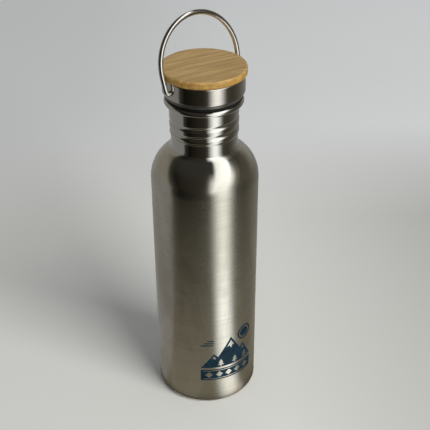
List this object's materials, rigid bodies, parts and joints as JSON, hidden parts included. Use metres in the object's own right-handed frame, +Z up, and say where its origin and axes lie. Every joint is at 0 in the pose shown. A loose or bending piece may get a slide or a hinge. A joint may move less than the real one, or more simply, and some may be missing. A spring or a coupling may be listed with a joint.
{
  "type": "screw-cap drinking bottle",
  "caption": "Single-wall steel drinking bottle with a threaded neck, bamboo-topped screw cap and swinging wire bail handle.",
  "frame": {"origin": "centre of the foot ring, on the surface that the bottle stands on", "axes": "+Z up along the bottle's axis, +X along the bail's pivot axis; the bail leans towards +Y at rest"},
  "size_m": [0.073, 0.0731, 0.29],
  "materials": {
    "brushed_steel_body": "brushed round the axis",
    "steel_base": "spun",
    "ink": "printed",
    "silicone": "satin",
    "core_plastic": "moulded",
    "steel_liner": "satin",
    "steel_cap": "brushed round the axis",
    "adhesive": "dull",
    "bamboo": "smooth, thin lacquer",
    "polished_wire": "polished"
  },
  "bodies": {
    "bottle": {"bottle_shell": "brushed_steel_body", "base_cup": "steel_base", "printed_emblem": "ink"},
    "gasket": {"mouth_gasket": "silicone"},
    "cap": {"cap_core": "core_plastic", "plug_liner": "steel_liner", "cap_shell": "steel_cap", "adhesive_pad": "adhesive", "bamboo_disc": "bamboo"},
    "bail": {"wire_bail": "polished_wire"}
  },
  "joints": [
    {"name": "cap_rise", "type": "slide", "parent": "bottle", "child": "gasket", "axis": [0, 0, 1], "range_m": [0, 0.033]},
    {"name": "cap_turn", "type": "hinge", "parent": "gasket", "child": "cap", "pos_m": [0, 0, 0.24], "axis": [0, 0, 1], "range_deg": [0, 1800]},
    {"name": "bail_swing", "type": "hinge", "parent": "cap", "child": "bail", "pos_m": [0, 0, 0.24557], "axis": [1, 0, 0], "range_deg": [-126, 153]}
  ],
  "couplings": [
    {"joint": "cap_rise", "follows": "cap_turn", "m_per_rad": 0.0010345}
  ]
}
